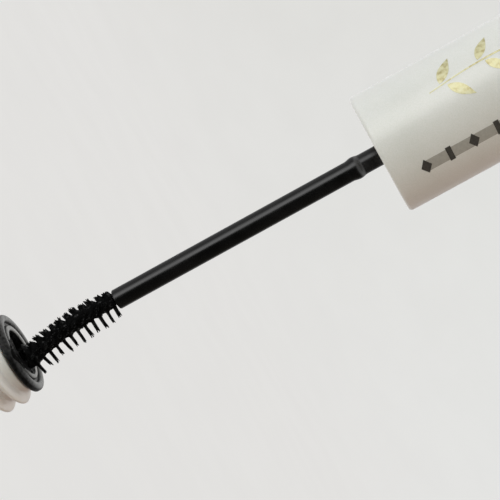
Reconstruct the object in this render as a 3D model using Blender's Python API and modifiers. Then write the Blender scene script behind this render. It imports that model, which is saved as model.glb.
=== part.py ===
"""Mascara tube with its wand drawn, as an assembly of separate pieces.

The bottle stands on Z = 0 with its axis on +Z. The wand (cap, inner cap, stem and twisted-wire
brush) is unscrewed and pulled straight up, until only the brush's last third is in the wiper.
Every length below is in millimetres; MM turns it into Blender's metres.
"""
import math

import bmesh
import bpy
import numpy as np
from mathutils import Vector
from mathutils.geometry import interpolate_bezier

MM = 0.001
ROUND_STEPS = 32          # facets round the shells
STEM_STEPS = 16           # facets round the stem
FILLET_STEPS = 2          # straight pieces in a rounded corner

# bottle
BODY_R = 9.5              # outside of the sleeve and of the cap
SLEEVE_H = 76.0
SLEEVE_WALL = 1.2
SLEEVE_FLOOR = 1.9
LABEL_R = 6.1
LABEL_THICK = 0.15
LABEL_RECESS = 0.6
FIT_GAP = 0.3             # room left between pieces that touch
VIAL_R = 8.0
VIAL_WALL = 1.2
VIAL_FLOOR = 1.2
SHOULDER_R = 9.2
SHOULDER_THICK = 1.0
NECK_R = 5.85
NECK_BORE_R = 4.6
NECK_TOP = 90.0
FILL_TOP = 58.0
FILL_CHANNEL_R = 4.7
FILL_DEPTH = 2.6          # mascara left under the channel

# screw thread between neck and inner cap
PITCH = 2.7
NECK_THREAD_TURNS = 2.25
NECK_THREAD_TOP = 88.9
NECK_THREAD_PATH_R = 6.35
NECK_THREAD_ROUND = 0.85
CAP_THREAD_TURNS = 1.5
CAP_THREAD_PATH_R = 7.33
CAP_THREAD_ROUND = 0.65
THREAD_POINTS = 16        # points in a turn

# wiper
WIPER_FACE = 91.6
WIPER_R = 6.45
WIPER_FLANGE = 1.3
WIPER_BORE_R = 3.65
WIPER_SLEEVE_R = 4.35
WIPER_ORIFICE_R = 1.78
WIPER_LIP_Z = 76.8
WIPER_CONE_TOP = 82.2     # where the sleeve starts to narrow to the lip

# wand
CAP_H = 52.0
CAP_WALL = 1.0
CAP_TOP_THICK = 1.4
CLOSED_RIM = SLEEVE_H + FIT_GAP + SHOULDER_THICK + FIT_GAP
STEM_OUT = 45.0           # stem below the cap's rim
BRUSH_OUT = 16.2          # brush above the wiper's face
BRUSH_LEN = 25.0
RIM_Z = WIPER_FACE + BRUSH_OUT + STEM_OUT
STEM_R = 1.575
STEM_END = RIM_Z - STEM_OUT
INNER_CAP_R = 8.3
INNER_CAP_BORE_R = 7.45
INNER_CAP_CEILING = 15.5  # above the rim
CEILING_THICK = 1.2
BOSS_R = 3.6
BOSS_TOP = 25.0           # above the rim
WASHER_THICK = 0.9
WASHER_R = 6.4

# brush
WIRE_R = 0.25
WIRE_PATH_R = 0.55
WIRE_SHANK = 6.5          # wire held inside the stem
SHANK_BORE_R = 0.98
TWIST_PITCH = 2.7
TWIST_POINTS = 8          # points in a turn of the wire
BLADE_POINTS = 12         # stations in a turn of the bristles
BRISTLE_R = 2.55
BRISTLE_MOUTH_R = 1.5     # where the wiper folds the bristles in
BRISTLE_TIP_R = 1.1
BRISTLE_THICK = 0.28

WHITE = (0.86, 0.85, 0.83)
NATURAL = (0.80, 0.80, 0.77)
BLACK = (0.012, 0.012, 0.013)
INK = (0.006, 0.006, 0.007)
STEEL = (0.42, 0.42, 0.43)
FOAM = (0.74, 0.74, 0.72)
PAPER = (0.83, 0.82, 0.79)


def clear_scene():
    for obj in list(bpy.data.objects):
        bpy.data.objects.remove(obj, do_unlink=True)


def collection(name):
    made = bpy.data.collections.new(name)
    bpy.context.scene.collection.children.link(made)
    return made


def material(name, colour, roughness, metallic=0.0):
    made = bpy.data.materials.new(name)
    made.use_nodes = True
    shader = made.node_tree.nodes["Principled BSDF"]
    shader.inputs["Base Color"].default_value = (*colour, 1.0)
    shader.inputs["Roughness"].default_value = roughness
    shader.inputs["Metallic"].default_value = metallic
    made.diffuse_color = (*colour, 1.0)
    return made


def rounded(corners):
    """An outline of (radius, height) points from corners of (radius, height) or (radius, height, fillet)."""
    points = []
    for i, corner in enumerate(corners):
        here = Vector(corner[:2])
        fillet = corner[2] if len(corner) > 2 else 0
        if not fillet:
            points.append(here)
            continue
        back = (Vector(corners[i - 1][:2]) - here).normalized()
        ahead = (Vector(corners[(i + 1) % len(corners)][:2]) - here).normalized()
        half = back.angle(ahead) / 2
        reach = fillet / math.tan(half)
        centre = here + (back + ahead).normalized() * fillet / math.sin(half)
        start, end = here + back * reach - centre, here + ahead * reach - centre
        sweep = start.angle(end)
        for n in range(FILLET_STEPS + 1):
            part = n / FILLET_STEPS
            swung = start * math.sin((1 - part) * sweep) + end * math.sin(part * sweep)
            points.append(centre + swung / math.sin(sweep))
    return points


def turned(name, corners, look, steps=ROUND_STEPS, closed=False, bottom=0.0):
    """A piece turned about Z from its outline, which runs down the outer side."""
    mesh = bpy.data.meshes.new(name)
    points = rounded(corners)
    edges = [(i, i + 1) for i in range(len(points) - 1)]
    if closed:
        edges.append((len(points) - 1, 0))
    mesh.from_pydata([(r * MM, 0, z * MM) for r, z in points], edges, [])
    obj = bpy.data.objects.new(name, mesh)
    obj.location.z = bottom * MM
    obj.data.materials.append(look)
    turn = obj.modifiers.new("turn", "SCREW")
    turn.axis = "Z"
    turn.steps = turn.render_steps = steps
    turn.use_merge_vertices = True
    turn.merge_threshold = 0.00001
    parts.objects.link(obj)
    return obj


def poly_curve(name, points, radii=None):
    """A POLY curve through points in millimetres."""
    curve = bpy.data.curves.new(name, "CURVE")
    curve.dimensions = "3D"
    curve.use_fill_caps = True
    spline = curve.splines.new("POLY")
    spline.points.add(len(points) - 1)
    for i, (made, place) in enumerate(zip(spline.points, points)):
        made.co = (*(Vector(place) * MM), 1.0)
        made.radius = radii[i] if radii else 1.0
    return curve


def as_mesh(name, curve, group):
    """The closed mesh of a curve, with its caps welded on."""
    holder = bpy.data.objects.new(name + "_curve", curve)
    group.objects.link(holder)
    seen = holder.evaluated_get(bpy.context.evaluated_depsgraph_get())
    mesh = bpy.data.meshes.new_from_object(seen)
    mesh.name = name
    shape = bmesh.new()
    shape.from_mesh(mesh)
    bmesh.ops.remove_doubles(shape, verts=shape.verts, dist=0.000001)
    bmesh.ops.recalc_face_normals(shape, faces=shape.faces)
    shape.to_mesh(mesh)
    shape.free()
    mesh.shade_smooth()
    obj = bpy.data.objects.new(name, mesh)
    obj.matrix_world = holder.matrix_world
    group.objects.link(obj)
    bpy.data.objects.remove(holder, do_unlink=True)
    return obj


def thread_ridge(name, path_r, ridge_r, turns, top):
    """A round ridge on a right-handed helix that runs out at both ends."""
    count = int(turns * THREAD_POINTS)
    points, radii = [], []
    for n in range(count + 1):
        angle = math.tau * n / THREAD_POINTS
        height = top - turns * PITCH + PITCH * n / THREAD_POINTS
        points.append((path_r * math.cos(angle), path_r * math.sin(angle), height))
        run_out = min(n, count - n) / (THREAD_POINTS / 6)
        radii.append(0.35 + 0.65 * min(run_out, 1.0))
    curve = poly_curve(name, points, radii)
    curve.bevel_depth = ridge_r * MM
    curve.bevel_resolution = 2
    ridge = as_mesh(name, curve, cutters)
    ridge.hide_render = True
    ridge.display_type = "WIRE"
    return ridge


def join(obj, other):
    union = obj.modifiers.new(other.name, "BOOLEAN")
    union.operation = "UNION"
    union.solver = "EXACT"
    union.object = other


def bottle_sleeve(look):
    inner = BODY_R - SLEEVE_WALL
    recess_r = LABEL_R + FIT_GAP
    return turned("bottle_sleeve", [
        (0, SLEEVE_FLOOR), (inner, SLEEVE_FLOOR, 0.4), (inner, SLEEVE_H, 0.3),
        (BODY_R, SLEEVE_H, 0.4), (BODY_R, 0, 0.7), (recess_r, 0),
        (recess_r, LABEL_RECESS), (0, LABEL_RECESS),
    ], look)


def base_label(look):
    return turned("base_label", [
        (0, 2 * LABEL_THICK), (LABEL_R, 2 * LABEL_THICK), (LABEL_R, LABEL_THICK), (0, LABEL_THICK),
    ], look)


def bottle_vial(look):
    """The inner vial, with its shoulder and threaded neck."""
    base = SLEEVE_FLOOR + FIT_GAP
    shoulder = SLEEVE_H + FIT_GAP
    inner = VIAL_R - VIAL_WALL
    vial = turned("bottle_vial", [
        (0, base + VIAL_FLOOR), (inner, base + VIAL_FLOOR, 0.8), (inner, shoulder - 4.0),
        (NECK_BORE_R, shoulder - 1.0), (NECK_BORE_R, NECK_TOP, 0.2), (NECK_R - 0.1, NECK_TOP, 0.4),
        (NECK_R, shoulder + SHOULDER_THICK, 0.4), (SHOULDER_R, shoulder + SHOULDER_THICK, 0.3),
        (SHOULDER_R, shoulder), (VIAL_R, shoulder), (VIAL_R, base, 0.8), (0, base),
    ], look)
    ridge = thread_ridge("neck_thread", NECK_THREAD_PATH_R, NECK_THREAD_ROUND,
                         NECK_THREAD_TURNS, NECK_THREAD_TOP)
    join(vial, ridge)
    return vial


def mascara_fill(look):
    """What is left of the mascara: a lining that the wand has worn a channel through."""
    outer = VIAL_R - VIAL_WALL - FIT_GAP
    bottom = SLEEVE_FLOOR + VIAL_FLOOR + 2 * FIT_GAP
    return turned("mascara_fill", [
        (0, bottom + FILL_DEPTH), (FILL_CHANNEL_R, bottom + FILL_DEPTH, 1.0),
        (FILL_CHANNEL_R, FILL_TOP, 0.6), (outer, FILL_TOP + 1.6), (outer, bottom, 0.8), (0, bottom),
    ], look)


def wiper(look):
    """The rubber wiper: a round-edged flange on the neck, a sleeve inside it and a thin lip."""
    flange_under = WIPER_FACE - WIPER_FLANGE
    lip_out = WIPER_ORIFICE_R + 0.45
    return turned("wiper", [
        (WIPER_R - 1.15, WIPER_FACE, 0.4), (WIPER_R, WIPER_FACE, 0.55), (WIPER_R, flange_under, 0.5),
        (WIPER_SLEEVE_R, flange_under), (WIPER_SLEEVE_R, WIPER_CONE_TOP), (lip_out, WIPER_LIP_Z, 0.15),
        (WIPER_ORIFICE_R, WIPER_LIP_Z), (WIPER_ORIFICE_R, WIPER_LIP_Z + 0.5),
        (WIPER_BORE_R, WIPER_CONE_TOP - 0.3), (WIPER_BORE_R, WIPER_FACE - 0.1, 0.3),
        (WIPER_BORE_R + 0.75, WIPER_FACE - 0.1, 0.25),
        (WIPER_BORE_R + 0.95, WIPER_FACE - 0.6), (WIPER_R - 1.3, WIPER_FACE - 0.6),
    ], look, closed=True)


def cap_shell(look):
    inner = BODY_R - CAP_WALL
    return turned("cap_shell", [
        (0, CAP_H), (BODY_R, CAP_H, 0.9), (BODY_R, 0, 0.35), (inner, 0, 0.2),
        (inner, CAP_H - CAP_TOP_THICK, 0.6), (0, CAP_H - CAP_TOP_THICK),
    ], look, bottom=RIM_Z)


def inner_cap(look):
    """The insert that screws on the neck and holds the stem in its boss."""
    ceiling_top = INNER_CAP_CEILING + CEILING_THICK
    grip = STEM_R + FIT_GAP
    insert = turned("inner_cap", [
        (INNER_CAP_R, ceiling_top + 1.6, 0.2), (INNER_CAP_R, 0.4, 0.2), (INNER_CAP_BORE_R, 0.4, 0.2),
        (INNER_CAP_BORE_R, INNER_CAP_CEILING, 0.4), (grip, INNER_CAP_CEILING), (grip, BOSS_TOP),
        (BOSS_R, BOSS_TOP, 0.3), (BOSS_R, ceiling_top, 0.4), (INNER_CAP_BORE_R, ceiling_top),
        (INNER_CAP_BORE_R, ceiling_top + 1.6),
    ], look, closed=True, bottom=RIM_Z)
    neck_start = NECK_THREAD_TOP - NECK_THREAD_TURNS * PITCH
    top = neck_start + PITCH / 2 + CAP_THREAD_TURNS * PITCH + RIM_Z - CLOSED_RIM
    ridge = thread_ridge("cap_thread", CAP_THREAD_PATH_R, CAP_THREAD_ROUND, CAP_THREAD_TURNS, top)
    join(insert, ridge)
    return insert


def sealing_washer(look):
    """A loose foam ring round the stem, which the closed cap presses on the wiper."""
    top = INNER_CAP_CEILING - FIT_GAP
    return turned("sealing_washer", [
        (WASHER_R, top), (WASHER_R, top - WASHER_THICK),
        (STEM_R + FIT_GAP, top - WASHER_THICK), (STEM_R + FIT_GAP, top),
    ], look, closed=True, bottom=RIM_Z)


def stem(look):
    """The stem, from its snap head above the boss down to the socket for the brush wire."""
    head = BOSS_TOP + FIT_GAP
    collar_top, collar_len, collar_r = -3.2, 1.5, STEM_R + 0.16
    return turned("wand_stem", [
        (0, head + 1.5), (STEM_R + 0.6, head + 1.5, 0.4), (STEM_R + 1.2, head), (STEM_R, head),
        (STEM_R, collar_top), (collar_r, collar_top - 0.15), (collar_r, collar_top - collar_len),
        (STEM_R, collar_top - collar_len - 0.15), (STEM_R, -STEM_OUT, 0.25),
        (SHANK_BORE_R, -STEM_OUT, 0.12), (SHANK_BORE_R, WIRE_SHANK + 0.5 - STEM_OUT),
        (0, WIRE_SHANK + 0.5 - STEM_OUT),
    ], look, steps=STEM_STEPS, bottom=RIM_Z)


def brush_axis(steps):
    """Even steps along the wire: straight in the stem, then bent towards +X and back again.

    Returns the points, the distance of each from the stem's end, and the frames across the wire.
    """
    end = STEM_END
    bends = [
        ((0, end), (0, end - 6.0), (0.62, end - 10.8), (1.7, end - 15.4)),
        ((1.7, end - 15.4), (2.12, end - 17.2), (1.75, end - 21.0), (1.25, end - BRUSH_LEN)),
    ]
    route = [Vector((0, 0, end + WIRE_SHANK))]
    for bend in bends:
        knots = [Vector((x, 0, z)) for x, z in bend]
        route += interpolate_bezier(*knots, 40)[0 if bend is bends[0] else 1:]
    path = np.array([tuple(p) for p in route])
    run = np.concatenate([[0], np.cumsum(np.linalg.norm(np.diff(path, axis=0), axis=1))])
    at = np.linspace(0, run[-1], steps + 1)
    points = np.stack([np.interp(at, run, path[:, k]) for k in range(3)], axis=1)
    along = np.gradient(points, axis=0)
    along /= np.linalg.norm(along, axis=1)[:, None]
    side = np.stack([-along[:, 2], np.zeros(len(at)), along[:, 0]], axis=1)
    return points, at - WIRE_SHANK, side


def brush_wire(look):
    """One wire folded at the brush's tip and twisted on itself."""
    steps = int((WIRE_SHANK + BRUSH_LEN) / TWIST_PITCH * TWIST_POINTS)
    points, run, side = brush_axis(steps)
    strands = []
    for half in (0, math.pi):
        angle = math.tau * (run / TWIST_PITCH) + half
        across = np.cos(angle)[:, None] * side + np.sin(angle)[:, None] * np.array([[0, 1, 0]])
        strands.append([Vector(p) for p in points + WIRE_PATH_R * across])
    tip_a, tip_b = strands[0][-1], strands[1][-1]
    middle, reach = (tip_a + tip_b) / 2, (tip_a - tip_b) / 2
    down = (Vector(points[-1]) - Vector(points[-2])).normalized() * WIRE_PATH_R
    fold = [middle + reach * math.cos(a) + down * math.sin(a)
            for a in (math.pi * n / 6 for n in range(1, 6))]
    curve = poly_curve("brush_wire", strands[0] + fold + strands[1][::-1])
    curve.bevel_depth = WIRE_R * MM
    curve.bevel_resolution = 2
    wire = as_mesh("brush_wire", curve, parts)
    wire.data.materials.append(look)
    return wire


def brush_bristles(look):
    """The fan of bristles between the strands, as one twisted blade that follows the wire."""
    steps = int((WIRE_SHANK + BRUSH_LEN) / TWIST_PITCH * BLADE_POINTS)
    points, run, side = brush_axis(steps)
    reach = np.interp(run, [0.5, 1.6, 14.6, 15.8, 20.0, BRUSH_LEN - 0.9],
                      [1.7, BRISTLE_R, BRISTLE_R, BRISTLE_MOUTH_R, BRISTLE_MOUTH_R, BRISTLE_TIP_R])
    shape = bmesh.new()
    stations = []
    for i in np.flatnonzero((run >= 0.5) & (run <= BRUSH_LEN - 0.9)):
        angle = math.tau * run[i] / TWIST_PITCH + math.pi / 2
        out = Vector(side[i]) * math.cos(angle) + Vector((0, math.sin(angle), 0))
        stations.append([shape.verts.new((Vector(points[i]) + out * reach[i] * u) * MM)
                         for u in (-1, 0, 1)])
    for (left, mid, right), (next_left, next_mid, next_right) in zip(stations, stations[1:]):
        for corners in ((left, next_left, mid), (mid, next_left, next_mid),
                        (mid, next_mid, next_right), (mid, next_right, right)):
            shape.faces.new(corners)
    mesh = bpy.data.meshes.new("brush_bristles")
    shape.to_mesh(mesh)
    shape.free()
    mesh.materials.append(look)
    blade = bpy.data.objects.new("brush_bristles", mesh)
    thick = blade.modifiers.new("thickness", "SOLIDIFY")
    thick.thickness = BRISTLE_THICK * MM
    thick.offset = 0
    parts.objects.link(blade)
    return blade


def main():
    pearl = material("pearl_white", WHITE, 0.25)
    natural = material("natural_white", NATURAL, 0.4)
    rubber = material("black_rubber", BLACK, 0.5)
    gloss = material("gloss_black", BLACK, 0.2)
    ink = material("mascara_black", INK, 0.3)

    bottle = [bottle_sleeve(pearl), base_label(material("label_paper", PAPER, 0.6)),
              bottle_vial(natural), mascara_fill(ink), wiper(rubber)]
    wand = [cap_shell(pearl), inner_cap(natural), stem(gloss),
            brush_wire(material("steel_wire", STEEL, 0.3, 1.0)), brush_bristles(ink)]
    washer = sealing_washer(material("white_foam", FOAM, 0.8))

    for name, pieces in (("bottle", bottle), ("washer_lift", [washer]), ("wand_turn", wand)):
        axis = bpy.data.objects.new(name, None)
        axis.empty_display_size = 0.01
        parts.objects.link(axis)
        for piece in pieces:
            piece.parent = axis


clear_scene()
parts = collection("mascara_tube")
cutters = collection("cutters")
main()
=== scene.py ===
"""The opened mascara tube: materials, fine surfaces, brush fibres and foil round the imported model."""
import math
import random

import bmesh
import bpy
import numpy as np
from mathutils import Matrix, Vector, noise
from mathutils.geometry import interpolate_bezier


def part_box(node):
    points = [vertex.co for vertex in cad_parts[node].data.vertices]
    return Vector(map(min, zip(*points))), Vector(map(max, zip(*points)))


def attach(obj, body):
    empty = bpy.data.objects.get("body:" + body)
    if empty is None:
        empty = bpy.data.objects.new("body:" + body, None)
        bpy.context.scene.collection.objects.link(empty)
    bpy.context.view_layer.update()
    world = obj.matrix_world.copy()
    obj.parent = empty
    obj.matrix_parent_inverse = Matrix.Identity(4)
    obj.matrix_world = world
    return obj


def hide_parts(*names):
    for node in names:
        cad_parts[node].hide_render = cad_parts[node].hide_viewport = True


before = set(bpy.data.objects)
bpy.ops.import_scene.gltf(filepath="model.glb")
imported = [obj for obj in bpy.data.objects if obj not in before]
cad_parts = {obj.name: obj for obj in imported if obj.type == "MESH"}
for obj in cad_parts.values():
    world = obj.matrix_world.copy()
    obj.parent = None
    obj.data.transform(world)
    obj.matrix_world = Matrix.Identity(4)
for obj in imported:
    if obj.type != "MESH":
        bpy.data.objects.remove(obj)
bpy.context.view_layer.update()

MM = 0.001
ROUND = 128               # facets round a turned piece
FILLET_STEPS = 6          # straight pieces in a rounded corner


# ---------------------------------------------------------------- places, all from the frame

def low(node):
    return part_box(node)[0] / MM


def high(node):
    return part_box(node)[1] / MM


BODY_R = high("cap_shell").x
RIM = low("cap_shell").z
CAP_TOP = high("cap_shell").z
INSERT_R = high("inner_cap").x
INSERT_LOW = low("inner_cap").z
INSERT_TOP = high("inner_cap").z
WASHER_LOW = low("sealing_washer").z
WASHER_TOP = high("sealing_washer").z
WASHER_R = high("sealing_washer").x
STEM_END = low("wand_stem").z
STEM_TOP = high("wand_stem").z
WIPER_FACE = high("wiper").z
WIPER_LIP = low("wiper").z
WIPER_R = high("wiper").x
SLEEVE_TOP = high("bottle_sleeve").z
VIAL_LOW = low("bottle_vial").z
VIAL_TOP = high("bottle_vial").z
SHOULDER_R = high("bottle_vial").x
LABEL_LOW = low("base_label").z
LABEL_TOP = high("base_label").z
LABEL_R = high("base_label").x
FILL_LOW = low("mascara_fill").z
FILL_TOP = high("mascara_fill").z
FILL_R = high("mascara_fill").x


# ---------------------------------------------------------------- camera

CAMERA_BACK = 252.6       # from the tube's axis, in mm
CAMERA_ABOVE_RIM = 0.46
CAMERA_YAW, CAMERA_PITCH, CAMERA_ROLL = math.radians(0.707), math.radians(5.437), math.radians(61.25)
LENS = 122.4              # on a 36 mm sensor


def make_camera():
    data = bpy.data.cameras.new("camera")
    data.lens = LENS
    data.clip_start = 0.01
    data.clip_end = 20
    ahead = Vector((math.sin(CAMERA_YAW) * math.cos(CAMERA_PITCH),
                    math.cos(CAMERA_YAW) * math.cos(CAMERA_PITCH), -math.sin(CAMERA_PITCH)))
    level = Vector((math.cos(CAMERA_YAW), -math.sin(CAMERA_YAW), 0))
    top = level.cross(ahead)
    right = level * math.cos(CAMERA_ROLL) + top * math.sin(CAMERA_ROLL)
    above = top * math.cos(CAMERA_ROLL) - level * math.sin(CAMERA_ROLL)
    camera = bpy.data.objects.new("camera", data)
    turn = Matrix((right, above, -ahead)).transposed().to_4x4()
    camera.matrix_world = Matrix.Translation(Vector((0, -CAMERA_BACK, RIM + CAMERA_ABOVE_RIM)) * MM) @ turn
    bpy.context.scene.collection.objects.link(camera)
    bpy.context.scene.camera = camera


# ---------------------------------------------------------------- materials

class Nodes:
    """Short names for building the nodes of one tree."""

    def __init__(self, tree):
        self.tree = tree

    def fill(self, node, inputs):
        """Sets or links a node's inputs, by name or, as _0 and so on, by number."""
        for key, value in inputs.items():
            socket = node.inputs[int(key[1:]) if key.startswith("_") else key.replace("_", " ")]
            if isinstance(value, bpy.types.NodeSocket):
                self.tree.links.new(value, socket)
            else:
                socket.default_value = value
        return node

    def add(self, kind, **inputs):
        return self.fill(self.tree.nodes.new(kind), inputs)

    def calculate(self, operation, *values):
        node = self.tree.nodes.new("ShaderNodeMath")
        node.operation = operation
        return self.fill(node, {f"_{i}": value for i, value in enumerate(values)}).outputs[0]

    def times(self, first, second):
        return self.calculate("MULTIPLY", first, second)

    def spread(self, value, low_out, high_out, low_in=0.3, high_in=0.7):
        """Maps a value from its own range to another."""
        return self.add("ShaderNodeMapRange", Value=value, From_Min=low_in, From_Max=high_in,
                        To_Min=low_out, To_Max=high_out).outputs["Result"]

    def mixed(self, share, first, second):
        return self.add("ShaderNodeMixRGB", Fac=share, Color1=first, Color2=second).outputs["Color"]

    def ramp(self, value, stops, ease="LINEAR"):
        """Colours at their places from 0 to 1."""
        node = self.add("ShaderNodeValToRGB", Fac=value)
        elements = node.color_ramp.elements
        node.color_ramp.interpolation = ease
        while len(elements) < len(stops):
            elements.new(0.5)
        for element, (at, colour) in zip(elements, stops):
            element.position = at
            element.color = (*colour, 1.0)
        return node.outputs["Color"]


class Finish(Nodes):
    """One material and its Principled shader."""

    def __init__(self, name):
        self.material = bpy.data.materials.new(name)
        self.material.use_nodes = True
        super().__init__(self.material.node_tree)
        self.shader = self.tree.nodes["Principled BSDF"]
        self.place = self.add("ShaderNodeTexCoord").outputs["Object"]

    def set(self, **inputs):
        self.fill(self.shader, inputs)

    def stretch(self, x=1.0, y=1.0, z=1.0):
        return self.add("ShaderNodeMapping", Vector=self.place, Scale=(x, y, z)).outputs["Vector"]

    def grain(self, size, detail=3.0, vector=None, roughness=0.5):
        """Noise whose lumps are about size metres across."""
        node = self.add("ShaderNodeTexNoise", Vector=vector or self.place, Scale=1.0 / size,
                        Detail=detail, Roughness=roughness)
        return node.outputs["Fac"]

    def tint(self, value, *stops):
        return self.ramp(value, stops)

    def bump(self, height, depth, under=None):
        """A bump of about depth metres."""
        node = self.add("ShaderNodeBump", Height=height, Distance=depth, Strength=1.0)
        if under:
            self.tree.links.new(under, node.inputs["Normal"])
        return node.outputs["Normal"]


def pearl_white():
    """Pearly white plastic: fine flakes, a faint orange peel and a clear gloss over it."""
    n = Finish("pearl_white")
    flakes = n.add("ShaderNodeTexVoronoi", Vector=n.place, Scale=9000.0).outputs["Color"]
    flake = n.add("ShaderNodeSeparateColor", Color=flakes).outputs["Red"]
    cloud = n.grain(0.006, 2.0)
    base = n.tint(cloud, (0.35, (0.800, 0.795, 0.765)), (0.65, (0.830, 0.822, 0.795)))
    sparkle = n.tint(flake, (0.0, (0.93, 0.94, 0.92)), (1.0, (1.0, 1.0, 1.0)))
    mix = n.add("ShaderNodeMixRGB", Fac=1.0, Color1=base, Color2=sparkle)
    mix.blend_type = "MULTIPLY"
    n.set(Base_Color=mix.outputs["Color"], Roughness=n.spread(flake, 0.30, 0.42, 0.0, 1.0),
          Subsurface_Weight=0.12, Subsurface_Radius=(1.0, 0.9, 0.8), Subsurface_Scale=0.0012,
          Coat_Weight=0.35, Coat_Roughness=0.12, Specular_IOR_Level=0.55,
          Normal=n.bump(n.grain(0.0009, 2.0), 0.000004))
    return n.material


def milky_plastic():
    """The vial's natural white polypropylene, waxy and slightly see-through."""
    n = Finish("milky_plastic")
    cloud = n.grain(0.004, 3.0)
    flow = n.grain(0.0022, 3.0, n.stretch(1, 1, 0.25))
    n.set(Base_Color=n.tint(cloud, (0.3, (0.72, 0.705, 0.675)), (0.7, (0.77, 0.755, 0.73))),
          Roughness=n.spread(flow, 0.28, 0.42),
          Subsurface_Weight=0.3, Subsurface_Radius=(1.0, 0.85, 0.7), Subsurface_Scale=0.0015,
          Specular_IOR_Level=0.5, Normal=n.bump(flow, 0.000012))
    return n.material


def black_plastic():
    """The stem's glossy black plastic with fine lengthwise draw marks and a little handling haze."""
    n = Finish("black_plastic")
    draw = n.grain(0.00025, 2.0, n.stretch(1, 1, 0.03))
    haze = n.grain(0.003, 4.0)
    n.set(Base_Color=n.tint(haze, (0.3, (0.0020, 0.0020, 0.0020)), (0.7, (0.0036, 0.0036, 0.0034))),
          Roughness=n.spread(haze, 0.17, 0.27), Specular_IOR_Level=0.5,
          Normal=n.bump(draw, 0.000003, n.bump(haze, 0.00001)))
    return n.material


def rubber():
    """The wiper's soft black rubber with grey bloom in patches. Painted sheen pales its upward faces in
    those patches, most at the back, painted shade leaves the front black, and a painted highlight makes
    the ring round the mouth palest."""
    n = Finish("wiper_rubber")
    bloom = n.grain(0.0011, 5.0)
    stain = n.grain(0.00045, 4.0)
    skin = n.grain(0.00016, 3.0)
    facing = n.add("ShaderNodeTexCoord").outputs["Normal"]
    up = n.spread(n.add("ShaderNodeSeparateXYZ", Vector=facing).outputs["Z"], 0.0, 1.0, 0.2, 0.9)
    to_back = n.add("ShaderNodeSeparateXYZ", Vector=n.place).outputs["Y"]
    from_axis = n.add("ShaderNodeVectorMath", _0=n.stretch(1, 1, 0))
    from_axis.operation = "LENGTH"
    # Mask for the painted highlight on the ring round the mouth.
    ring = n.spread(from_axis.outputs["Value"], 1.0, 0.16, 0.0045, 0.0048)
    # Painted sheen and shade: the random bloom patches are painted paler on upward faces and towards the
    # back, where the light falls, and darker at the front.
    bloom_and_painted_sheen = n.times(n.times(up, bloom), n.spread(to_back, 0.20, 1.25, -0.0058, 0.0030))
    # Painted highlight: the ring round the mouth is painted palest, more so towards the back.
    pale = n.times(n.times(bloom_and_painted_sheen, ring), n.spread(to_back, 0.8, 2.1, -0.0005, 0.0040))
    # The colour of the bloom with its painted sheen.
    dull = n.tint(bloom_and_painted_sheen, (0.05, (0.003, 0.003, 0.003)), (0.7, (0.030, 0.030, 0.029)))
    unwiped = n.times(up, n.spread(to_back, 0.0, 1.0, -0.0058, -0.0010))
    gloss = n.spread(unwiped, 0.22, 0.60, 0.0, 1.0)
    n.set(Base_Color=n.mixed(pale, dull, (0.24, 0.24, 0.235, 1.0)),
          Roughness=n.spread(stain, 0.26, 0.55),
          Specular_IOR_Level=n.times(gloss, n.spread(stain, 0.45, 1.20, 0.40, 0.60)),
          Normal=n.bump(skin, 0.000012, n.bump(bloom, 0.00006)))
    return n.material


def wet_mascara():
    """Mascara cream: black, damp and lumpy."""
    n = Finish("wet_mascara")
    lumps = n.grain(0.0004, 4.0)
    fine = n.grain(0.00012, 3.0)
    wet = n.grain(0.0005, 3.0, n.stretch(1, 1, 0.6))
    n.set(Base_Color=n.tint(lumps, (0.3, (0.0020, 0.0020, 0.0020)), (0.7, (0.0045, 0.0045, 0.0045))),
          Roughness=n.spread(lumps, 0.30, 0.60), Specular_IOR_Level=n.spread(wet, 0.012, 0.38, 0.60, 0.72),
          Normal=n.bump(fine, 0.00003, n.bump(lumps, 0.00012)))
    return n.material


def nylon():
    """Bristles: black nylon with a broken coat of mascara."""
    n = Finish("bristle_nylon")
    coat = n.grain(0.0003, 3.0)
    n.set(Base_Color=n.tint(coat, (0.3, (0.0020, 0.0020, 0.0020)), (0.7, (0.0060, 0.0060, 0.0060))),
          Roughness=n.spread(coat, 0.30, 0.55), Specular_IOR_Level=n.spread(coat, 0.02, 0.32, 0.55, 0.74),
          Normal=n.bump(coat, 0.00003))
    return n.material


def steel():
    """Drawn steel wire, greyed with dried mascara."""
    n = Finish("steel_wire")
    streak = n.grain(0.0002, 3.0, n.stretch(1, 1, 0.3))
    stain = n.grain(0.0012, 4.0)
    n.set(Base_Color=n.tint(stain, (0.35, (0.05, 0.05, 0.052)), (0.65, (0.42, 0.42, 0.43))),
          Metallic=1.0, Roughness=n.spread(streak, 0.25, 0.45), Normal=n.bump(streak, 0.000004))
    return n.material


def foam():
    """Closed-cell foam, white, with its cut cells showing."""
    n = Finish("white_foam")
    cells = n.add("ShaderNodeTexVoronoi", Vector=n.place, Scale=4500.0).outputs["Distance"]
    n.set(Base_Color=n.tint(cells, (0.0, (0.60, 0.60, 0.58)), (0.6, (0.78, 0.78, 0.76))),
          Roughness=0.8, Normal=n.bump(cells, 0.00005))
    return n.material


def paper():
    """A plain coated paper sticker."""
    n = Finish("label_paper")
    fibre = n.grain(0.0004, 5.0, n.stretch(1, 0.3, 1))
    n.set(Base_Color=n.tint(fibre, (0.3, (0.78, 0.77, 0.74)), (0.7, (0.84, 0.83, 0.80))),
          Roughness=n.spread(fibre, 0.45, 0.65), Normal=n.bump(fibre, 0.00001))
    return n.material


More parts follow.
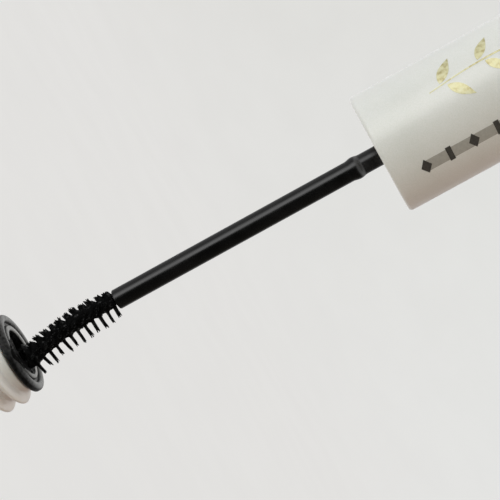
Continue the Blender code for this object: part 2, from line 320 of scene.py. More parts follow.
def gold_foil():
    """Hot-stamped pale gold foil: bright, slightly crinkled, with worn and dull patches."""
    n = Finish("gold_foil")
    wear = n.grain(0.0007, 5.0)
    crinkle = n.grain(0.0013, 3.0)
    n.set(Base_Color=n.tint(wear, (0.30, (0.42, 0.36, 0.18)), (0.50, (0.62, 0.59, 0.36)),
                            (0.75, (0.70, 0.69, 0.52))),
          Metallic=0.72, Roughness=n.spread(wear, 0.42, 0.60),
          Normal=n.bump(crinkle, 0.00008))
    return n.material


def grey_ink(name, pale, dark):
    """Screen-printed ink, a little uneven."""
    n = Finish(name)
    speck = n.grain(0.00035, 4.0)
    n.set(Base_Color=n.tint(speck, (0.3, dark), (0.7, pale)),
          Roughness=n.spread(speck, 0.35, 0.55), Normal=n.bump(speck, 0.000006))
    return n.material


# ---------------------------------------------------------------- shape tools, in millimetres

def rounded(corners):
    """Points from corners of (radius, height) or (radius, height, fillet)."""
    points = []
    for i, corner in enumerate(corners):
        here = Vector(corner[:2])
        fillet = corner[2] if len(corner) > 2 else 0
        if not fillet:
            points.append(here)
            continue
        back = (Vector(corners[i - 1][:2]) - here).normalized()
        ahead = (Vector(corners[(i + 1) % len(corners)][:2]) - here).normalized()
        half = back.angle(ahead) / 2
        reach = fillet / math.tan(half)
        centre = here + (back + ahead).normalized() * fillet / math.sin(half)
        start, end = here + back * reach - centre, here + ahead * reach - centre
        sweep = start.angle(end)
        for n in range(FILLET_STEPS + 1):
            part = n / FILLET_STEPS
            swung = start * math.sin((1 - part) * sweep) + end * math.sin(part * sweep)
            points.append(centre + swung / math.sin(sweep))
    return points


def finished(name, mesh, look, body, replaced=(), angle=35):
    """Links a mesh as a piece that rides on a body and takes a finish."""
    for vertex in mesh.vertices:
        vertex.co *= MM
    mesh.materials.append(look)
    mesh.shade_smooth()
    mesh.set_sharp_from_angle(angle=math.radians(angle))
    piece = bpy.data.objects.new(name, mesh)
    bpy.context.scene.collection.objects.link(piece)
    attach(piece, body)
    if replaced:
        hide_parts(*replaced)
    return piece


def lathe(name, corners, closed=False, fine=None, shift=None, steps=ROUND):
    """A turned mesh. fine=(low, high, step) adds rings on long runs between two heights, and
    shift(radius, angle, height) gives each vertex's new radius."""
    outline = rounded(corners)
    points = []
    for i, here in enumerate(outline):
        points.append(here)
        ahead = outline[(i + 1) % len(outline)]
        if not fine or (i == len(outline) - 1 and not closed):
            continue
        inside = all(fine[0] <= p.y <= fine[1] for p in (here, ahead))
        count = int(abs(ahead.y - here.y) / fine[2]) if inside else 0
        points += [here.lerp(ahead, (n + 1) / (count + 1)) for n in range(count)]
    shape = bmesh.new()
    rings = []
    for radius, height in points:
        if radius < 1e-6:
            rings.append([shape.verts.new((0, 0, height))])
            continue
        ring = []
        for k in range(steps):
            angle = math.tau * k / steps
            r = shift(radius, angle, height) if shift else radius
            ring.append(shape.verts.new((r * math.cos(angle), r * math.sin(angle), height)))
        rings.append(ring)
    pairs = list(zip(rings, rings[1:] + rings[:1]))
    for ring, after in pairs if closed else pairs[:-1]:
        for k in range(steps):
            j = (k + 1) % steps
            quad = [ring[k % len(ring)], after[k % len(after)],
                    after[j % len(after)], ring[j % len(ring)]]
            shape.faces.new(list(dict.fromkeys(quad)))
    mesh = bpy.data.meshes.new(name)
    shape.to_mesh(mesh)
    shape.free()
    return mesh


def tubes(name, spines, sides=5):
    """One mesh of closed round strands. A spine is a list of (point, radius)."""
    verts, faces = [], []
    for spine in spines:
        first = len(verts)
        points = [p for p, _ in spine]
        ahead = (points[1] - points[0]).normalized()
        side = ahead.orthogonal().normalized()
        for i, (point, radius) in enumerate(spine):
            along = (points[min(i + 1, len(points) - 1)] - points[max(i - 1, 0)]).normalized()
            side = (side - along * side.dot(along)).normalized()
            other = along.cross(side)
            for k in range(sides):
                angle = math.tau * k / sides
                verts.append(point + (side * math.cos(angle) + other * math.sin(angle)) * radius)
        for i in range(len(spine) - 1):
            for k in range(sides):
                j = (k + 1) % sides
                here, after = first + i * sides, first + (i + 1) * sides
                faces.append((here + k, here + j, after + j, after + k))
        faces.append(tuple(first + k for k in range(sides))[::-1])
        faces.append(tuple(len(verts) - sides + k for k in range(sides)))
    mesh = bpy.data.meshes.new(name)
    mesh.from_pydata([tuple(v) for v in verts], [], faces)
    return mesh


def hump(value, middle, width):
    """1 in the middle, falling off smoothly on both sides."""
    return math.exp(-((value - middle) / width) ** 2)


# ---------------------------------------------------------------- bottle

FIT_GAP = 0.3             # room left between pieces
SLEEVE_WALL = 1.2
SLEEVE_FLOOR = 1.9
LABEL_RECESS = 0.6
VIAL_R, VIAL_BORE, VIAL_FLOOR = 8.0, 6.8, 1.2
SHOULDER_THICK = 1.0
NECK_ROOT = 5.85
NECK_CREST = 7.2
NECK_BORE = 4.6
CHANNEL_R = 4.7           # left in the mascara by the wand
CHANNEL_FLOOR = 2.6
THREAD_PITCH = 2.7
NECK_THREAD_TOP = VIAL_TOP - 1.1
NECK_THREAD_TURNS, NECK_THREAD_HALF = 2.25, 1.02
CAP_THREAD_TURNS, CAP_THREAD_HALF = 1.5, 0.85
CAP_THREAD_DEPTH = 0.77


def ridge(angle, height, top, turns, half_width):
    """How far a right-handed helical ridge stands up here, from 0 to 1."""
    best = 0.0
    start = top - turns * THREAD_PITCH
    for turn in range(-1, int(turns) + 2):
        gone = turn + angle / math.tau
        if not 0 <= gone <= turns:
            continue
        off = abs(height - start - gone * THREAD_PITCH) / half_width
        if off < 1:
            run_out = min(1.0, min(gone, turns - gone) * 7)
            best = max(best, (0.5 + 0.5 * math.cos(math.pi * off)) ** 0.62 * run_out ** 0.7)
    return best


def neck_radius(radius, angle, height):
    if not NECK_BORE + 0.3 < radius <= NECK_ROOT + 0.01:
        return radius
    stands = ridge(angle, height, NECK_THREAD_TOP, NECK_THREAD_TURNS, NECK_THREAD_HALF)
    return radius + (NECK_CREST - NECK_ROOT) * stands


def make_bottle(looks):
    inner, recess_r = BODY_R - SLEEVE_WALL, LABEL_R + FIT_GAP
    sleeve = lathe("bottle_sleeve_shell", [
        (0, SLEEVE_FLOOR), (inner, SLEEVE_FLOOR, 0.4), (inner, SLEEVE_TOP, 0.3),
        (BODY_R, SLEEVE_TOP, 0.4), (BODY_R, 0, 0.7), (recess_r, 0, 0.08),
        (recess_r, LABEL_RECESS), (0, LABEL_RECESS)])
    finished("bottle_sleeve_shell", sleeve, looks["pearl"], "bottle", ["bottle_sleeve"])

    label = lathe("base_label_blank", [
        (0, LABEL_TOP), (LABEL_R, LABEL_TOP, 0.03), (LABEL_R, LABEL_LOW, 0.03), (0, LABEL_LOW)])
    finished("base_label_blank", label, looks["paper"], "bottle", ["base_label"])

    floor, under = VIAL_LOW + VIAL_FLOOR, SLEEVE_TOP + FIT_GAP
    shoulder = under + SHOULDER_THICK
    vial = lathe("bottle_vial_neck", [
        (0, floor), (VIAL_BORE, floor, 0.8), (VIAL_BORE, under - 4, 1.0), (NECK_BORE, under - 1, 1.0),
        (NECK_BORE, VIAL_TOP, 0.2), (NECK_ROOT - 0.1, VIAL_TOP, 0.35), (NECK_ROOT, shoulder, 0.5),
        (SHOULDER_R, shoulder, 0.35), (SHOULDER_R, under, 0.1), (VIAL_R, under),
        (VIAL_R, VIAL_LOW, 0.8), (0, VIAL_LOW)],
        fine=(shoulder, VIAL_TOP, 0.09), shift=neck_radius, steps=160)
    finished("bottle_vial_neck", vial, looks["milky"], "bottle", ["bottle_vial"], 60)

    bottom = FILL_LOW + CHANNEL_FLOOR
    fill = lathe("mascara_lining", [
        (0, bottom), (CHANNEL_R, bottom, 1.0), (CHANNEL_R, FILL_TOP - 1.6, 0.6),
        (FILL_R, FILL_TOP), (FILL_R, FILL_LOW, 0.8), (0, FILL_LOW)],
        fine=(FILL_LOW + 3, FILL_TOP, 1.2), shift=fill_radius, steps=64)
    finished("mascara_lining", fill, looks["mascara"], "bottle", ["mascara_fill"], 80)


def fill_radius(radius, angle, height):
    """The channel's wall, left in soft streaks by the wand."""
    if radius > 5.5 or height < FILL_LOW + 4:
        return radius
    where = Vector((math.cos(angle) * 2, math.sin(angle) * 2, height * 0.12))
    return radius + 0.25 + 0.25 * noise.noise(where)


FLANGE_THICK = 1.3
GROOVE_DEPTH = 0.65
RING_DROP = 0.1           # of the raised ring's top below the flange's face
WIPER_BORE = 3.65
WIPER_SLEEVE_R = 4.35
LIP_BORE = 1.78
CONE_RISE = 5.4           # from the lip to the top of the narrowing stretch


def make_wiper(looks):
    """Round-edged flange, groove, raised ring round the mouth, sleeve and lip."""
    face, under, groove, ring = (WIPER_FACE - drop for drop in (0, FLANGE_THICK, GROOVE_DEPTH, RING_DROP))
    cone = WIPER_LIP + CONE_RISE
    wiper = lathe("wiper_insert", [
        (WIPER_R - 1.2, face, 0.45), (WIPER_R, face, 0.6), (WIPER_R, under, 0.45),
        (WIPER_SLEEVE_R, under, 0.05), (WIPER_SLEEVE_R, cone, 0.6), (LIP_BORE + 0.45, WIPER_LIP, 0.15),
        (LIP_BORE, WIPER_LIP, 0.05), (LIP_BORE, WIPER_LIP + 0.5, 0.3), (WIPER_BORE, cone - 0.3, 0.8),
        (WIPER_BORE, ring, 0.32), (WIPER_BORE + 0.85, ring, 0.3), (WIPER_BORE + 1.0, groove, 0.12),
        (WIPER_R - 1.35, groove, 0.12)], closed=True)
    finished("wiper_insert", wiper, looks["rubber"], "bottle", ["wiper"], 60)


SMEAR_TOP = 0.2           # above the wiper's face, clear of the closed washer
SMEAR_THICK = 0.5
SMEAR_FROM, SMEAR_TO = math.radians(-165), math.radians(100)
TONGUE, HEAP = -92, -5    # in degrees: where it runs out over the flange, and where it stands highest


def make_smear(looks):
    """Mascara dragged over the wiper's raised ring, and a lump of it left in the mouth."""
    shape = bmesh.new()
    rows, columns = 30, 80
    grid = []
    for i in range(columns + 1):
        part = i / columns
        angle = SMEAR_FROM + (SMEAR_TO - SMEAR_FROM) * part
        ends = math.sin(math.pi * part) ** 0.4
        tongue = hump(math.degrees(angle), TONGUE, 30)
        heaped = hump(math.degrees(angle), HEAP, 65)
        wave = noise.noise(Vector((angle * 2.3, 1.7, 0.0)))
        outer = WIPER_BORE + 0.10 + (2.75 * tongue + 0.20 + 0.35 * wave) * ends
        inner = WIPER_BORE - 0.05 - (1.75 + 0.2 * wave) * ends
        line = []
        for j in range(rows + 1):
            t = j / rows
            r = inner + (outer - inner) * t
            bulge = math.sin(math.pi * t) ** 0.5 * ends
            lumps = noise.noise(Vector((r * 1.8, angle * 3.0, 0.4)))
            fine = noise.noise(Vector((r * 6.0, angle * 9.0, 2.0)))
            floor = WIPER_FACE - 0.35 - (0.8 - 0.6 * heaped) * max(0.0, WIPER_BORE - r)
            floor += 0.34 * min(1.0, max(0.0, (r - 4.9) / 0.7))
            z = min(floor + bulge * (0.52 + 0.18 * lumps + 0.08 * fine), WIPER_FACE + SMEAR_TOP)
            line.append((r * math.cos(angle), r * math.sin(angle), z))
        grid.append(line)
    upper = [[shape.verts.new(p) for p in line] for line in grid]
    under = [[shape.verts.new((x, y, z - SMEAR_THICK)) for x, y, z in line] for line in grid]
    for i in range(columns):
        for j in range(rows):
            shape.faces.new((upper[i][j], upper[i][j + 1], upper[i + 1][j + 1], upper[i + 1][j]))
            shape.faces.new((under[i][j], under[i + 1][j], under[i + 1][j + 1], under[i][j + 1]))
    for i in range(columns):
        for j in (0, rows):
            shape.faces.new((upper[i][j], upper[i + 1][j], under[i + 1][j], under[i][j]))
    for j in range(rows):
        for i in (0, columns):
            shape.faces.new((upper[i][j], under[i][j], under[i][j + 1], upper[i][j + 1]))
    bmesh.ops.recalc_face_normals(shape, faces=shape.faces[:])
    mesh = bpy.data.meshes.new("mascara_smear")
    shape.to_mesh(mesh)
    shape.free()
    finished("mascara_smear", mesh, looks["mascara"], "bottle", (), 80)


# ---------------------------------------------------------------- wand

STEM_R = 1.575
STEM_HOLE = STEM_R + FIT_GAP
STEM_HEAD = 25.3          # above the rim
SHANK = 6.5               # wire held in the stem
SHANK_BORE = 0.98
COLLAR_MIDDLE = 3.9       # below the rim
COLLAR_HALF = 1.15
COLLAR_SWELL = 0.19
CAP_WALL = 1.0
CAP_TOP_THICK = 1.4
CLOSED_RIM = SLEEVE_TOP + FIT_GAP + SHOULDER_THICK + FIT_GAP
INSERT_BORE = 7.45
INSERT_CEILING = 15.5     # above the rim
CEILING_THICK = 1.2
BOSS_R = 3.6              # of the socket that grips the stem


def cap_thread_radius(radius, angle, height):
    """The cap's thread starts half a pitch above the neck's when the tube is closed."""
    if abs(radius - INSERT_BORE) > 0.05:
        return radius
    drawn = RIM - CLOSED_RIM
    neck_start = NECK_THREAD_TOP - NECK_THREAD_TURNS * THREAD_PITCH
    top = neck_start + THREAD_PITCH * (0.5 + CAP_THREAD_TURNS) + drawn
    return radius - CAP_THREAD_DEPTH * ridge(angle, height, top, CAP_THREAD_TURNS, CAP_THREAD_HALF)


def make_cap(looks):
    inner, roof = BODY_R - CAP_WALL, CAP_TOP - CAP_TOP_THICK
    shell = lathe("cap_outer_shell", [
        (0, CAP_TOP), (BODY_R, CAP_TOP, 0.9), (BODY_R, RIM, 0.65), (inner, RIM, 0.25),
        (inner, roof, 0.6), (0, roof)])
    finished("cap_outer_shell", shell, looks["pearl"], "wand", ["cap_shell"])

    ceiling = RIM + INSERT_CEILING
    top = ceiling + CEILING_THICK
    edge = top + 1.6
    insert = lathe("cap_threaded_insert", [
        (INSERT_R, edge, 0.2), (INSERT_R, INSERT_LOW, 0.25), (INSERT_BORE, INSERT_LOW, 0.25),
        (INSERT_BORE, ceiling, 0.4), (STEM_HOLE, ceiling, 0.1), (STEM_HOLE, INSERT_TOP),
        (BOSS_R, INSERT_TOP, 0.3), (BOSS_R, top, 0.4), (INSERT_BORE, top, 0.2), (INSERT_BORE, edge)],
        closed=True, fine=(INSERT_LOW, ceiling, 0.12), shift=cap_thread_radius)
    finished("cap_threaded_insert", insert, looks["milky"], "wand", ["inner_cap"], 60)

    washer = lathe("foam_washer", [
        (WASHER_R, WASHER_TOP, 0.15), (WASHER_R, WASHER_LOW, 0.15), (STEM_HOLE, WASHER_LOW, 0.1),
        (STEM_HOLE, WASHER_TOP, 0.1)], closed=True)
    finished("foam_washer", washer, looks["foam"], "washer", ["sealing_washer"])


def make_stem(looks):
    """A rod with a flared head in the cap, a swollen collar and a socket for the wire."""
    head, collar, socket = RIM + STEM_HEAD, RIM - COLLAR_MIDDLE, STEM_END + SHANK + 0.5
    swelling = []
    for n in range(17):
        t = 1 - n / 8
        swell = COLLAR_SWELL * (0.5 + 0.5 * math.cos(math.pi * t)) ** 0.8
        swelling.append((STEM_R + swell, collar + COLLAR_HALF * t))
    stem = lathe("stem_rod", [
        (0, STEM_TOP), (STEM_R + 0.6, STEM_TOP, 0.4), (STEM_R + 1.2, head, 0.1), (STEM_R, head),
        *swelling,
        (STEM_R, STEM_END, 0.28), (SHANK_BORE, STEM_END, 0.1), (SHANK_BORE, socket), (0, socket)],
        steps=96)
    finished("stem_rod", stem, looks["black"], "wand", ["wand_stem"], 50)


# ---------------------------------------------------------------- brush

TWIST = 2.7               # rise of the wire in one turn
BRUSH_LEN = 25.0
STRAND_PATH, STRAND_R = 0.42, 0.32    # of each half of the twisted wire
MOUTH_RUN = 15.6          # along the brush from the stem to the wiper's mouth


def brush_axis(steps):
    """Even steps along the wire, as in the CAD solids: points, runs from the stem's end, sides."""
    end = STEM_END
    bends = [
        ((0, end), (0, end - 6.0), (0.62, end - 10.8), (1.7, end - 15.4)),
        ((1.7, end - 15.4), (2.12, end - 17.2), (1.75, end - 21.0), (1.25, end - BRUSH_LEN)),
    ]
    route = [Vector((0, 0, end + SHANK))]
    for bend in bends:
        knots = [Vector((x, 0, z)) for x, z in bend]
        route += interpolate_bezier(*knots, 60)[0 if bend is bends[0] else 1:]
    path = np.array([tuple(p) for p in route])
    run = np.concatenate([[0], np.cumsum(np.linalg.norm(np.diff(path, axis=0), axis=1))])
    at = np.linspace(0, run[-1], steps + 1)
    points = np.stack([np.interp(at, run, path[:, k]) for k in range(3)], axis=1)
    along = np.gradient(points, axis=0)
    along /= np.linalg.norm(along, axis=1)[:, None]
    side = np.stack([-along[:, 2], np.zeros(len(at)), along[:, 0]], axis=1)
    return points, at - SHANK, side, along


AXIS_POINTS, AXIS_RUN, AXIS_SIDE, AXIS_ALONG = brush_axis(800)


def on_axis(run):
    """(point, side, along) of the brush's wire at a distance from the stem's end."""
    return [Vector([float(np.interp(run, AXIS_RUN, table[:, k])) for k in range(3)])
            for table in (AXIS_POINTS, AXIS_SIDE, AXIS_ALONG)]


def across(run, angle):
    """A direction square to the wire. Angle 0 is the side that the brush bends towards."""
    _, side, _ = on_axis(run)
    return side * math.cos(angle) + Vector((0, math.sin(angle), 0))


def make_wire(looks):
    strands = []
    for half in (0, math.pi):
        spine = []
        for run in np.arange(-SHANK, BRUSH_LEN - 0.35, TWIST / 24):
            point, _, _ = on_axis(run)
            spine.append((point + across(run, math.tau * run / TWIST + half) * STRAND_PATH, STRAND_R))
        strands.append(spine)
    a, b = strands[0][-1][0], strands[1][-1][0]
    middle, reach = (a + b) / 2, (a - b) / 2
    down = on_axis(BRUSH_LEN)[2] * 0.4
    fold = [(middle + reach * math.cos(t) + down * math.sin(t), STRAND_R)
            for t in (math.pi * n / 10 for n in range(1, 10))]
    mesh = tubes("twisted_wire", [strands[0] + fold + strands[1][::-1]], 10)
    finished("twisted_wire", mesh, looks["steel"], "wand", ["brush_wire"], 60)


def make_coat(looks):
    """Mascara round the wire: a lumpy sleeve, heaped on the matted side and where it meets the mouth."""
    shape = bmesh.new()
    rings = []
    runs = np.arange(0.15, BRUSH_LEN - 0.5, 0.11)
    sides = 40
    for run in runs:
        point, _, _ = on_axis(run)
        ends = min(1.0, (run + 0.5) / 1.0, (BRUSH_LEN - 0.3 - run) / 1.2)
        ring = []
        for k in range(sides):
            angle = math.tau * k / sides
            twist = math.cos(2 * (angle - math.tau * run / TWIST - math.pi / 2))
            where = Vector((math.cos(angle) * 1.6, math.sin(angle) * 1.6, run * 1.3))
            back = max(0.0, -math.cos(angle))
            mat = 0.5 + 0.5 * math.cos(math.tau * (run / TWIST * 2 - 0.5))
            heap = (0.22 + 0.42 * mat) * min(1.0, 0.35 + run * 0.12)
            r = 1.10 - 0.16 * math.cos(angle) + 0.08 * twist + heap * back ** 2
            r += 0.24 * noise.noise(where) + 0.16 * noise.noise(where * 2.7)
            r *= 1 + 0.38 * hump(run, MOUTH_RUN, 1.1)
            if run > MOUTH_RUN + 1:
                r *= 0.85
            ring.append(shape.verts.new(point + across(run, angle) * r * ends ** 0.5))
        rings.append(ring)
    for ring, after in zip(rings, rings[1:]):
        for k in range(sides):
            j = (k + 1) % sides
            shape.faces.new((ring[k], after[k], after[j], ring[j]))
    shape.faces.new(rings[0])
    shape.faces.new(rings[-1][::-1])
    mesh = bpy.data.meshes.new("mascara_on_wire")
    shape.to_mesh(mesh)
    shape.free()
    finished("mascara_on_wire", mesh, looks["mascara"], "wand", (), 80)


LONG_SIDE = 0                             # in quarters of a turn from the side that the brush bends to
REACH = (3.04, 2.30, 2.50, 2.30)          # from the wire, for a clump in each quarter
SPREAD = (0.17, 0.30, 0.44, 0.30)         # half of a clump's width at its tips
COUNT = (26, 26, 54, 26)
THICKNESS = (0.120, 0.085, 0.085, 0.085)  # a fibre's radius with its mascara, less its tip's


def make_bristles(looks):
    """Fibres pinched in the twist. Mascara gathers them into a spike or a mat at each quarter turn."""
    rng = random.Random(43)
    spines = []
    for half in (0, 2):
        for n in range(int(4 * BRUSH_LEN / TWIST) + 1):
            run = n * TWIST / 4
            if 0.35 < run < BRUSH_LEN - 0.9:
                spines += clump_of_fibres(rng, run, (n + 1 + half) % 4)
    mesh = tubes("bristle_fibres", spines, 5)
    finished("bristle_fibres", mesh, looks["nylon"], "wand", ["brush_bristles"], 80)


def clump_of_fibres(rng, middle, quarter):
    """Fibres round one quarter of the twist, gathered at their tips into a few teeth."""
    centre, side, along = on_axis(middle)
    y_way = Vector((0, 1, 0))
    matted = quarter != LONG_SIDE
    by_stem = 0.74 + middle * 0.05 if matted else 0.86 + middle * 0.10
    grown = min(1.0, by_stem, (BRUSH_LEN + 1.6 - middle) / 5.0)
    facing = quarter * math.pi / 2 + rng.uniform(-0.10, 0.10)
    out = side * math.cos(facing) + y_way * math.sin(facing)
    across_out = y_way * math.cos(facing) - side * math.sin(facing)
    reach = REACH[quarter] * grown * rng.uniform(0.90, 1.03)
    spread = SPREAD[quarter] * rng.uniform(0.75, 1.25)
    lean = rng.uniform(0.34, 0.52) if matted else rng.uniform(-0.20, 0.14)
    tooth_count = 5 if matted else 3
    teeth = [(2 * k / (tooth_count - 1) - 1 + rng.uniform(-0.15, 0.15), rng.uniform(-1, 1),
              rng.uniform(0.90, 1.04)) for k in range(tooth_count)]
    spines = []
    for n in range(COUNT[quarter]):
        share = (n + 0.5) / COUNT[quarter] * 2 - 1
        angle = facing + share * math.pi / 4 + rng.uniform(-0.1, 0.1)
        point, own_side, _ = on_axis(middle + share * TWIST / 8 + rng.uniform(-0.06, 0.06))
        own_out = own_side * math.cos(angle) + y_way * math.sin(angle)
        tooth_along, tooth_across, tooth_reach = teeth[rng.randrange(len(teeth))]
        if rng.random() < 0.12:
            tooth_along, tooth_across = rng.uniform(-1.5, 1.5), rng.uniform(-1.5, 1.5)
        length = reach * tooth_reach * rng.choice((1.0, 0.98, 0.94, 0.84))
        tip = centre + out * length + along * (lean + tooth_along * spread + rng.uniform(-0.03, 0.03))
        tip += across_out * (tooth_across * spread * 1.5 + rng.uniform(-0.05, 0.05))
        tip = inside_mouth(tip)
        root = point + own_out * 0.3
        waist = point + own_out * 1.3
        if matted:
            waist = waist.lerp(centre + out * 1.6 + along * (lean * 0.6 + share * 0.55), 0.45)
        else:
            waist = waist.lerp(centre + out * 1.5, 0.75)
        spine = []
        for k in range(6):
            t = k / 5
            at = root.lerp(waist, t).lerp(waist.lerp(tip, t), t)
            spine.append((at, THICKNESS[quarter] * (1 - t ** 6) + 0.035))
        spines.append(spine)
    return spines


def inside_mouth(tip):
    """Bristles below the wiper's face fold in to fit its bore."""
    if tip.z > WIPER_FACE + 0.25:
        return tip
    flat = Vector((tip.x, tip.y, 0))
    most = 3.4 if tip.z > WIPER_FACE - 8 else 3.0
    if flat.length > most:
        flat *= most / flat.length
    return Vector((flat.x, flat.y, tip.z))


# ---------------------------------------------------------------- decoration on the cap

def in_fixed_order(name, shape):
    """A mesh whose points and faces come in the same order on every run, which cutting doesn't give."""
    points = sorted(shape.verts, key=lambda v: [round(c, 5) for c in v.co])
    number = {v: n for n, v in enumerate(points)}
    faces = []
    for face in shape.faces:
        ring = [number[v] for v in face.verts]
        start = ring.index(min(ring))
        faces.append(ring[start:] + ring[:start])
    mesh = bpy.data.meshes.new(name)
    mesh.from_pydata([tuple(v.co) for v in points], [], sorted(faces))
    return mesh


def wrapped(name, outline_shapes, look, inside=0.004, outside=0.03):
    """Flat shapes in (round, up) millimetres, laid on the cap. Round runs towards -X from the front."""
    shape = bmesh.new()
    for outline in outline_shapes:
        shape.faces.new([shape.verts.new((x, y, 0)) for x, y in outline])
    lo = min(v.co.x for v in shape.verts)
    hi = max(v.co.x for v in shape.verts)
    for cut in np.arange(math.floor(lo), hi, 0.4):
        bmesh.ops.bisect_plane(shape, geom=shape.verts[:] + shape.edges[:] + shape.faces[:],
                               plane_co=(cut, 0, 0), plane_no=(1, 0, 0), dist=1e-5)
    bmesh.ops.triangulate(shape, faces=shape.faces[:])
    for face in shape.faces:
        if face.normal.z < 0:
            face.normal_flip()
    raised = bmesh.ops.extrude_face_region(shape, geom=shape.faces[:])["geom"]
    outer = {v for v in raised if isinstance(v, bmesh.types.BMVert)}
    for v in shape.verts:
        r = BODY_R + (outside if v in outer else inside)
        angle = v.co.x / BODY_R
        v.co = Vector((-r * math.sin(angle), -r * math.cos(angle), RIM + v.co.y))
    bmesh.ops.recalc_face_normals(shape, faces=shape.faces[:])
    mesh = in_fixed_order(name, shape)
    shape.free()
    finished(name, mesh, look, "wand", (), 40)


def leaf(x, y, length, width, angle):
    """A pointed leaf from its stalk end."""
    points = []
    for n in range(13):
        t = n / 12
        points.append((t * length, width / 2 * math.sin(math.pi * t ** 0.8)))
    for n in range(11, 0, -1):
        t = n / 12
        points.append((t * length, -width / 2 * math.sin(math.pi * t ** 0.8)))
    c, s = math.cos(angle), math.sin(angle)
    return [(x + u * c - v * s, y + u * s + v * c) for u, v in points]


def stroke(points, widths):
    """A brush stroke through points, with a width at each."""
    left, right = [], []
    for i, (x, y) in enumerate(points):
        x0, y0 = points[max(i - 1, 0)]
        x1, y1 = points[min(i + 1, len(points) - 1)]
        along = Vector((x1 - x0, y1 - y0)).normalized()
        left.append((x - along.y * widths[i] / 2, y + along.x * widths[i] / 2))
        right.append((x + along.y * widths[i] / 2, y - along.x * widths[i] / 2))
    return left + right[::-1]


SPRIG_MIDDLE = 4.4        # round the cap, from the front
SPRIG_LOW, SPRIG_HIGH = 10.5, 42.0


def make_sprig(looks):
    """A generic leafy sprig in gold foil."""
    stalk = []
    for n in range(41):
        t = n / 40
        up = SPRIG_LOW + (SPRIG_HIGH - SPRIG_LOW) * t
        stalk.append((SPRIG_MIDDLE + 0.7 * math.sin(t * 5.2), up))
    shapes = [stroke(stalk, [0.14 + 0.14 * math.sin(math.pi * n / 40) for n in range(41)])]
    for pair in range(5):
        t = 0.06 + pair * 0.19
        x, y = stalk[int(t * 40)]
        size = 1.0 - 0.09 * pair
        shapes.append(leaf(x + 0.35, y + 0.3, 4.6 * size, 1.7 * size, math.radians(38)))
        shapes.append(leaf(x - 0.35, y + 1.2, 4.4 * size, 1.6 * size, math.radians(136)))
    x, y = stalk[-1]
    shapes.append(leaf(x, y + 0.3, 3.4, 1.3, math.radians(85)))
    wrapped("foil_sprig", shapes, looks["gold"])


ROW_MIDDLE = -4.9         # round the cap, on the other side of the front
ROW_LOW, ROW_STEP, ROW_MARKS = 5.2, 7.7, 5
LOZENGE_HALF, LOZENGE_RISE = 1.2, 0.85
BAR_HALF, BAR_RISE = 1.15, 0.42
STRIPE_HALF = 0.9


def in_row(half, low, high):
    """A rectangle on the row's middle line, between two heights."""
    return [(ROW_MIDDLE - half, low), (ROW_MIDDLE + half, low),
            (ROW_MIDDLE + half, high), (ROW_MIDDLE - half, high)]


def make_row(looks):
    """A generic row of lozenges and short bars in grey ink on a paler stripe."""
    shapes = []
    for n in range(ROW_MARKS):
        up = ROW_LOW + ROW_STEP * n
        shapes.append([(ROW_MIDDLE - LOZENGE_HALF, up), (ROW_MIDDLE, up - LOZENGE_RISE),
                       (ROW_MIDDLE + LOZENGE_HALF, up), (ROW_MIDDLE, up + LOZENGE_RISE)])
        bar = up + ROW_STEP / 2
        shapes.append(in_row(BAR_HALF, bar - BAR_RISE, bar + BAR_RISE))
    wrapped("printed_row", shapes, looks["ink"], 0.004, 0.030)
    stripe = in_row(STRIPE_HALF, ROW_LOW, ROW_LOW + ROW_STEP * (ROW_MARKS - 0.5))
    wrapped("printed_stripe", [stripe], looks["tint"], 0.002, 0.015)


# ---------------------------------------------------------------- stage and light

STAGE_GLOW = 0.44
STAGE_R, STAGE_SWEEP, STAGE_WALL = 1600, 500, 1500
SUN_STRENGTH = 0.30
SUN_WAY = Vector((0.72, 0.30, -0.62))     # in which its light travels
SHINE = 2.9

# Both go round the horizon: 0 and 1 are behind the tube, 0.5 is in front, 0.25 at +X and 0.75 at -X.
BANDS = [(0.0, (0.34,) * 3), (0.06, (0.18,) * 3), (0.20, (0.03, 0.028, 0.025)), (0.50, (0.008,) * 3),
         (0.545, (0.03,) * 3), (0.590, (0.95,) * 3), (0.625, (1.0,) * 3), (0.660, (0.62,) * 3),
         (0.705, (0.15,) * 3), (0.86, (0.15,) * 3), (1.0, (0.34,) * 3)]
HORIZON = [(0.0, (0.86, 0.82, 0.78)), (0.12, (0.60, 0.50, 0.44)), (0.25, (0.30, 0.16, 0.13)),
           (0.32, (0.25, 0.13, 0.08)), (0.42, (0.48, 0.44, 0.35)), (0.50, (0.715, 0.74, 0.68)),
           (0.60, (0.93, 0.98, 0.97)), (0.70, (0.95, 0.98, 0.99)), (0.78, (0.98, 0.97, 0.99)),
           (1.0, (0.86, 0.82, 0.78))]


def stage_look():
    """Pale seamless paper that glows a little, as it does in a light tent."""
    n = Finish("studio_paper")
    mottle = n.grain(0.05, 2.0)
    n.set(Base_Color=n.tint(mottle, (0.3, (0.440, 0.450, 0.490)), (0.7, (0.450, 0.460, 0.500))),
          Emission_Color=n.tint(mottle, (0.3, (0.945, 0.938, 0.868)), (0.7, (0.955, 0.950, 0.880))),
          Emission_Strength=STAGE_GLOW, Roughness=0.9, Specular_IOR_Level=0.0)
    return n.material


def make_stage():
    """A round pale floor that sweeps up into a wall. It lights and shades nothing on the object."""
    outline = [(0.0, 0.0)]
    outline += [(STAGE_R - STAGE_SWEEP + STAGE_SWEEP * math.sin(math.pi / 2 * n / 24),
                 STAGE_SWEEP - STAGE_SWEEP * math.cos(math.pi / 2 * n / 24)) for n in range(25)]
    outline.append((STAGE_R, STAGE_WALL))
    mesh = lathe("studio_floor", [(r, z - 0.02) for r, z in outline], steps=96)
    for vertex in mesh.vertices:
        vertex.co *= MM
    mesh.materials.append(stage_look())
    mesh.shade_smooth()
    floor = bpy.data.objects.new("studio_floor", mesh)
    floor.visible_glossy = False
    floor.visible_diffuse = False
    floor.visible_shadow = False
    bpy.context.scene.collection.objects.link(floor)


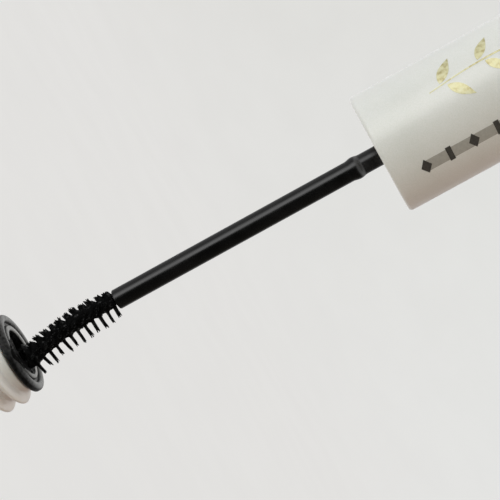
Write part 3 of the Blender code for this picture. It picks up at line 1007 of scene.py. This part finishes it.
def make_light():
    """Surroundings that give a soft gradient to matt light and bands to reflections, and a soft sun."""
    world = bpy.data.worlds.new("studio_air")
    world.use_nodes = True
    n = Nodes(world.node_tree)
    way = n.add("ShaderNodeTexCoord").outputs["Generated"]
    parts = n.add("ShaderNodeSeparateXYZ", Vector=way).outputs
    left = n.calculate("MULTIPLY", parts["X"], -1.0)
    front = n.calculate("MULTIPLY", parts["Y"], -1.0)
    turn = n.calculate("MULTIPLY_ADD", n.calculate("ARCTAN2", left, front), 1 / math.tau, 0.5)

    band = n.ramp(turn, BANDS, "EASE")
    overhead = n.spread(parts["Z"], 0.0, 1.0, 0.12, 0.27)
    gloss = n.mixed(overhead, band, (0.55, 0.55, 0.54, 1.0))
    shine = n.add("ShaderNodeBackground", Color=gloss, Strength=SHINE).outputs[0]

    horizon = n.ramp(turn, HORIZON)
    pole = n.spread(n.calculate("ABSOLUTE", parts["Z"]), 0.0, 1.0, 0.6, 1.0)
    matt = n.mixed(pole, horizon, (0.74, 0.73, 0.70, 1.0))
    glow = n.add("ShaderNodeBackground", Color=matt, Strength=1.0).outputs[0]

    is_shine = n.add("ShaderNodeLightPath").outputs["Is Glossy Ray"]
    both = n.add("ShaderNodeMixShader", Fac=is_shine, _1=glow, _2=shine).outputs[0]
    n.tree.links.new(both, n.tree.nodes["World Output"].inputs["Surface"])
    bpy.context.scene.world = world

    sun = bpy.data.lights.new("soft_sun", "SUN")
    sun.energy = SUN_STRENGTH
    sun.angle = math.radians(35)
    lamp = bpy.data.objects.new("soft_sun", sun)
    lamp.rotation_mode = "QUATERNION"
    lamp.rotation_quaternion = SUN_WAY.to_track_quat("-Z", "Y")
    lamp.visible_glossy = False
    bpy.context.scene.collection.objects.link(lamp)


def main():
    make_camera()
    make_stage()
    make_light()
    bpy.context.scene.view_settings.view_transform = "Standard"
    looks = {"pearl": pearl_white(), "milky": milky_plastic(), "black": black_plastic(),
             "rubber": rubber(), "mascara": wet_mascara(), "nylon": nylon(), "steel": steel(),
             "foam": foam(), "paper": paper(), "gold": gold_foil(),
             "ink": grey_ink("grey_ink", (0.052, 0.044, 0.034), (0.024, 0.020, 0.015)),
             "tint": grey_ink("grey_tint", (0.43, 0.415, 0.375), (0.37, 0.355, 0.32))}
    make_bottle(looks)
    make_wiper(looks)
    make_smear(looks)
    make_cap(looks)
    make_stem(looks)
    make_wire(looks)
    make_coat(looks)
    make_bristles(looks)
    make_sprig(looks)
    make_row(looks)


main()
